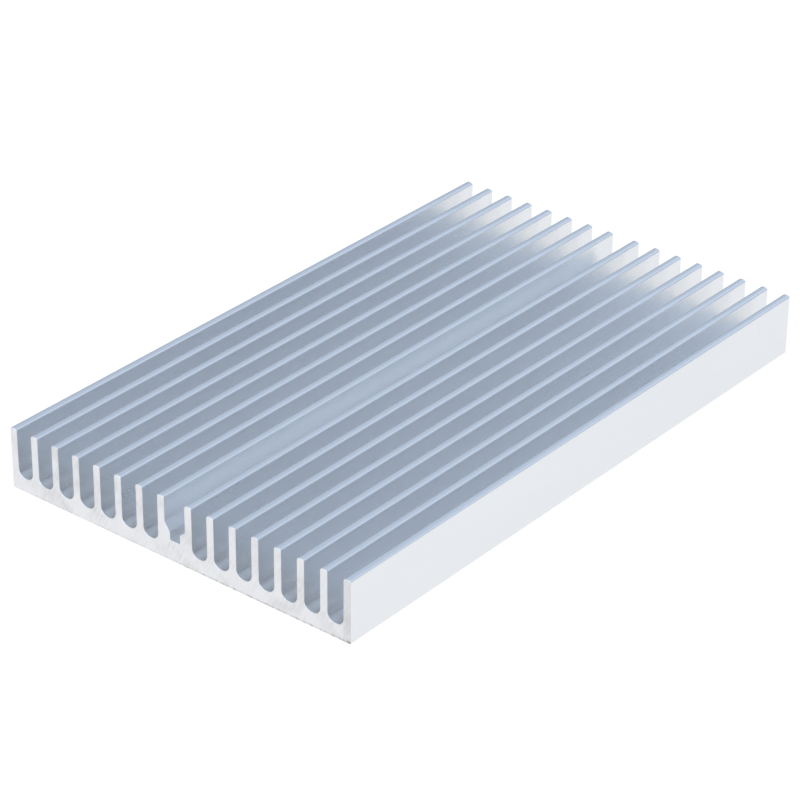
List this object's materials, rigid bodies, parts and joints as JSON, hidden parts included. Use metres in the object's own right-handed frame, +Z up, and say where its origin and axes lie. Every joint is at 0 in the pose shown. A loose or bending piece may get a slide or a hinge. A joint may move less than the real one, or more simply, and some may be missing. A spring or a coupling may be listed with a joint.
{
  "type": "heat sink",
  "caption": "Flat extruded aluminium heat sink: a thin base plate with straight parallel fins in two groups and a wider stepped slot between them.",
  "frame": {"origin": "centre of the flat underside", "axes": "+Y along the fins, with the sawn end that the picture shows facing -Y; +X across the fins; +Z up from the underside to the fin tips"},
  "size_m": [0.06, 0.1, 0.0095],
  "materials": {
    "aluminium": "satin extruded faces with bright sawn ends"
  },
  "bodies": {
    "root": {"heat_sink": "aluminium"}
  },
  "joints": []
}
